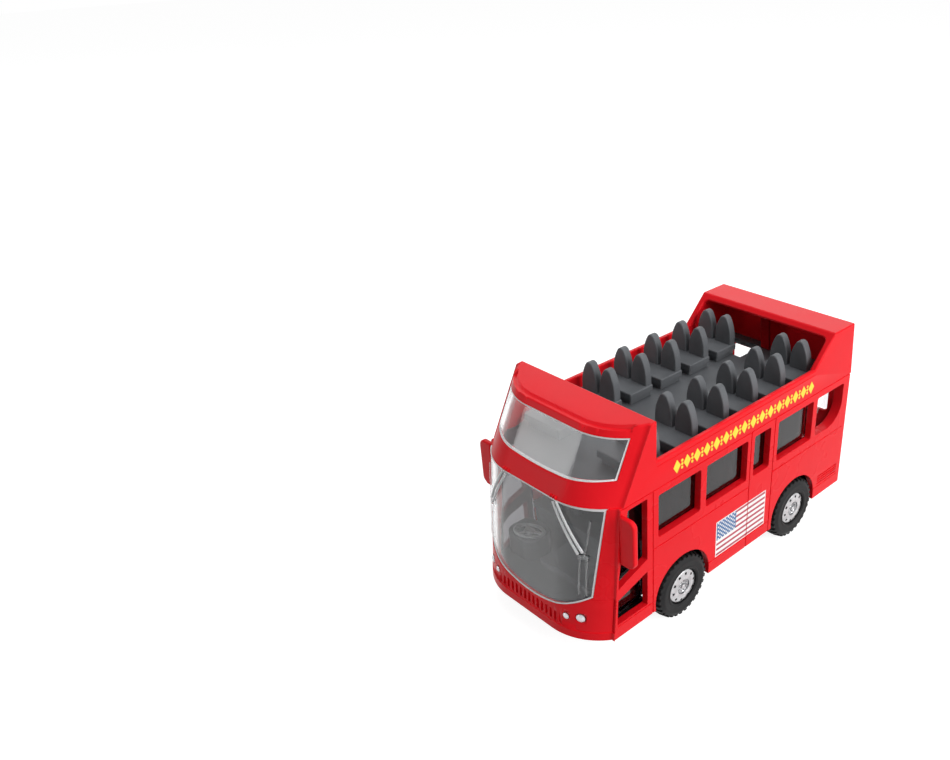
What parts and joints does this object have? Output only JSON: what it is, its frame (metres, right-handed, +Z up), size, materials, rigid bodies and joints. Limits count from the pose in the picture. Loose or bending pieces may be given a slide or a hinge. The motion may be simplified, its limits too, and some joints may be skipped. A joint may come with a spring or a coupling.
{
  "type": "toy open-top double-decker bus",
  "caption": "Red toy open-top sightseeing bus with two decks of grey seats, raked windscreens, a rear canopy, clear windows and free-rolling wheels.",
  "frame": {"origin": "on the ground below the middle of the outline box", "axes": "+X forward, +Y to the bus's left, +Z up"},
  "size_m": [0.1255, 0.0668, 0.0745],
  "materials": {
    "red_cast": "gloss red enamel on a cast shell",
    "red_plastic": "gloss red moulded plastic",
    "clear_plastic": "clear moulded plastic",
    "grey_trays": "satin dark grey moulded plastic",
    "black_base": "matt black moulded plastic",
    "lamp_silver": "silvered lamp buttons",
    "hub_chrome": "vacuum-plated plastic",
    "axle_steel": "plain steel wire",
    "tyre_rubber": "matt black rubber"
  },
  "bodies": {
    "bus": {"chassis": "black_base", "lower_body": "red_cast", "upper_body": "red_plastic", "front_bumper": "red_plastic", "headlamps": "lamp_silver", "lower_windscreen": "clear_plastic", "upper_windscreen": "clear_plastic", "left_glazing": "clear_plastic", "right_glazing": "clear_plastic", "rear_window": "clear_plastic", "lower_deck": "grey_trays", "dashboard": "grey_trays", "steering_wheel": "grey_trays", "upper_deck": "grey_trays", "mirror_left": "red_plastic", "mirror_right": "red_plastic"},
    "front_wheels": {"front_axle": "axle_steel", "front_left_hub": "hub_chrome", "front_right_hub": "hub_chrome", "front_left_tyre": "tyre_rubber", "front_right_tyre": "tyre_rubber"},
    "rear_wheels": {"rear_axle": "axle_steel", "rear_left_hub": "hub_chrome", "rear_right_hub": "hub_chrome", "rear_left_tyre": "tyre_rubber", "rear_right_tyre": "tyre_rubber"}
  },
  "joints": [
    {"name": "front_axle_roll", "type": "hinge", "parent": "bus", "child": "front_wheels", "pos_m": [0.02395, 0, 0.01115], "axis": [0, 1, 0], "continuous": true},
    {"name": "rear_axle_roll", "type": "hinge", "parent": "bus", "child": "rear_wheels", "pos_m": [-0.03345, 0, 0.01115], "axis": [0, 1, 0], "continuous": true}
  ]
}
